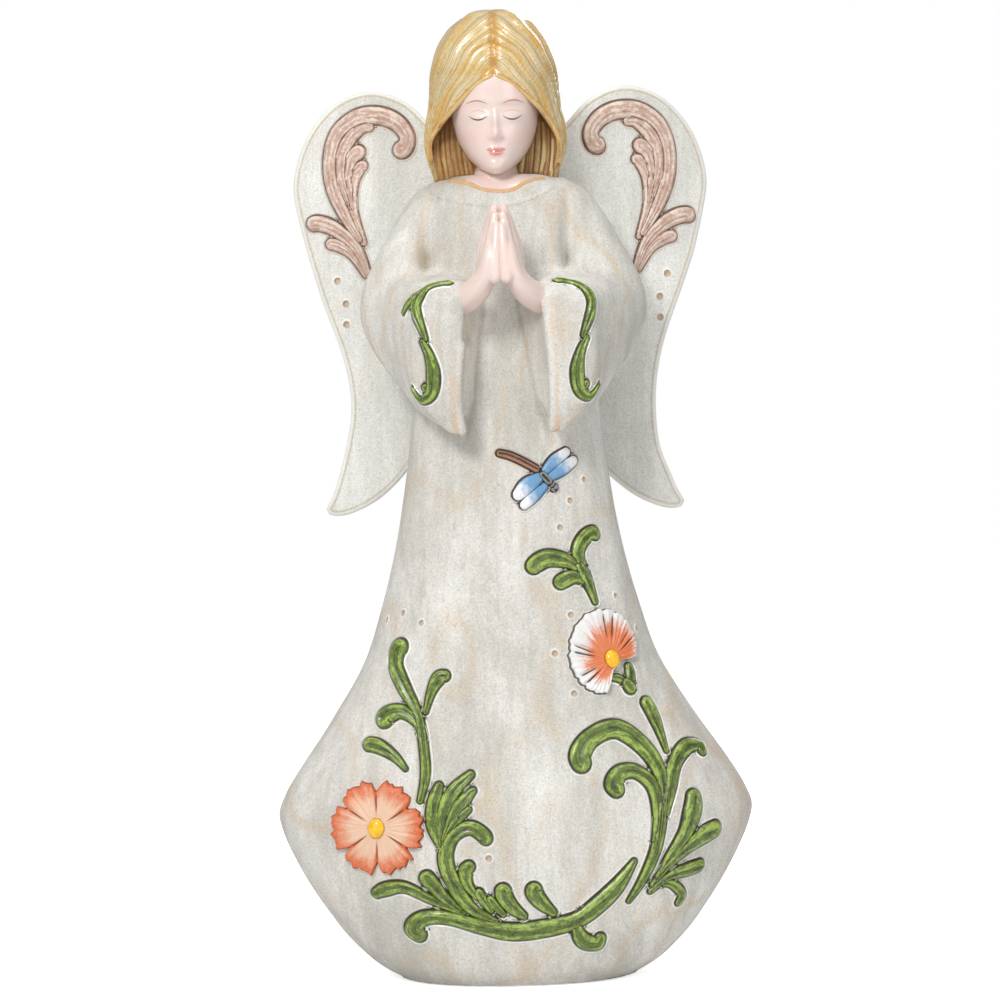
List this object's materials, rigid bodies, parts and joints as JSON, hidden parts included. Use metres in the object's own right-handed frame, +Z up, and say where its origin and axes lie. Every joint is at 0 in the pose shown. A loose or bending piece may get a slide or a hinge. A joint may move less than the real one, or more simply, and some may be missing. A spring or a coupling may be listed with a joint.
{
  "type": "cemetery angel statue",
  "caption": "Praying winged angel in a long flared robe, with carved leaf scrolls, flowers and a dragonfly on its front, standing on a flat oval foot.",
  "frame": {"origin": "middle of the whole statue's footprint, on the surface it stands on", "axes": "+Z up, -Y the way the figure faces, +X across the wings to the figure's own left"},
  "size_m": [0.1998, 0.1032, 0.406],
  "materials": {
    "painted_resin": "satin"
  },
  "bodies": {
    "root": {"angel_statue": "painted_resin"}
  },
  "joints": []
}
